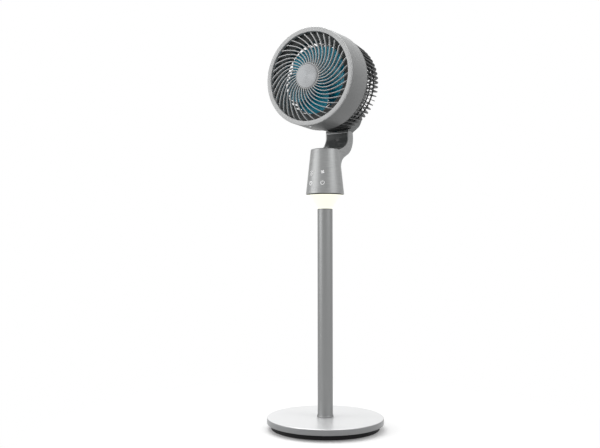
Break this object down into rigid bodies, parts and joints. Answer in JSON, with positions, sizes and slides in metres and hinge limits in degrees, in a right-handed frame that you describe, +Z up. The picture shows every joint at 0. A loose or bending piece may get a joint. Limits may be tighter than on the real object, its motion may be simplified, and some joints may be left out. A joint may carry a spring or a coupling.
{
  "type": "pedestal air circulator fan",
  "caption": "Pedestal air circulator: round foot, slim pole, ring light, swivelling control column with curved arm, tilting round fan head behind a swirl grille.",
  "frame": {"origin": "centre of the foot at floor level", "axes": "+Z up, -Y the way the air leaves with the head at rest, +X to the right of someone looking into the front grille"},
  "size_m": [0.29, 0.29, 0.99],
  "materials": {
    "black_plastic": "matte black",
    "cast_iron": "as cast",
    "base_paint": "satin light grey lacquer",
    "steel": "plain machined",
    "rubber": "matte",
    "nylon": "natural moulded",
    "pole_metal": "satin anodised grey",
    "light_shade": "milky, lit from inside",
    "board": "circuit board",
    "lamp_metal": "plain sheet",
    "silver_paint": "metallic silver grey, finely brushed look",
    "dark_plastic": "fine grain dark grey",
    "brass": "machined",
    "copper_iron": "wound laminations",
    "satin_paint": "satin metallic grey",
    "grille_grey": "satin dark grey",
    "ring_paint": "satin light silver",
    "badge_metal": "circular brushed",
    "teal_plastic": "glossy translucent-looking teal"
  },
  "bodies": {
    "stand": {"base_underplate": "black_plastic", "base_weight": "cast_iron", "base_cover": "base_paint", "power_inlet": "black_plastic", "pole_bolt": "steel", "foot_pad_1": "rubber", "foot_pad_2": "rubber", "foot_pad_3": "rubber", "foot_pad_4": "rubber", "foot_pad_5": "rubber", "pole_foot_plug": "nylon", "pole_base_ring": "pole_metal", "pole": "pole_metal", "pole_top_cap": "pole_metal", "neck_tube": "steel", "light_diffuser": "light_shade", "led_board": "board", "lamp_plate": "lamp_metal", "swivel_gear": "nylon", "neck_clip": "steel"},
    "column": {"control_housing": "silver_paint", "column_floor": "dark_plastic", "mechanism_deck": "nylon", "swivel_bush_lower": "brass", "swivel_bush_upper": "brass", "swivel_motor": "steel", "control_board": "board", "column_screw_1": "steel", "column_screw_2": "steel", "column_screw_3": "steel", "arm_lid": "dark_plastic", "arm_plug": "black_plastic", "tilt_axle": "steel", "tilt_bush_left": "brass", "tilt_bush_right": "brass", "tilt_motor": "steel"},
    "swivel_drive": {"swivel_pinion": "brass"},
    "tilt_drive": {"tilt_pinion": "brass"},
    "head": {"tilt_bracket": "nylon", "spine_shell": "satin_paint", "spine_lid": "dark_plastic", "motor_housing": "dark_plastic", "motor_can": "steel", "motor_end_cap": "steel", "motor_bearing_front": "steel", "motor_bearing_rear": "steel", "motor_stator": "copper_iron", "driver_board": "board", "rear_grille": "grille_grey", "shroud": "satin_paint", "air_duct": "dark_plastic", "front_grille": "ring_paint", "hub_cap": "badge_metal", "grille_lock_screw": "steel", "pod_screw_1": "steel", "pod_screw_2": "steel", "pod_screw_3": "steel"},
    "fan": {"impeller": "teal_plastic", "impeller_nut": "teal_plastic", "motor_shaft": "steel"}
  },
  "joints": [
    {"name": "pan", "type": "hinge", "parent": "stand", "child": "column", "pos_m": [0, 0, 0.59], "axis": [0, 0, 1], "range_deg": [-45, 45]},
    {"name": "swivel_pinion_spin", "type": "hinge", "parent": "column", "child": "swivel_drive", "pos_m": [0.02286, 0.0132, 0.59], "axis": [0, 0, 1], "range_deg": [-125, 125]},
    {"name": "head_tilt", "type": "hinge", "parent": "column", "child": "head", "pos_m": [0, 0.0755, 0.716], "axis": [1, 0, 0], "range_deg": [-75, 12]},
    {"name": "tilt_pinion_spin", "type": "hinge", "parent": "column", "child": "tilt_drive", "pos_m": [0, 0.06276, 0.70551], "axis": [1, 0, 0], "range_deg": [-16, 92]},
    {"name": "fan_spin", "type": "hinge", "parent": "head", "child": "fan", "pos_m": [0, 0, 0.867], "axis": [0, 1, 0], "continuous": true}
  ],
  "couplings": [
    {"joint": "swivel_pinion_spin", "follows": "pan", "ratio": 2.6667},
    {"joint": "tilt_pinion_spin", "follows": "head_tilt", "ratio": -1.2}
  ]
}
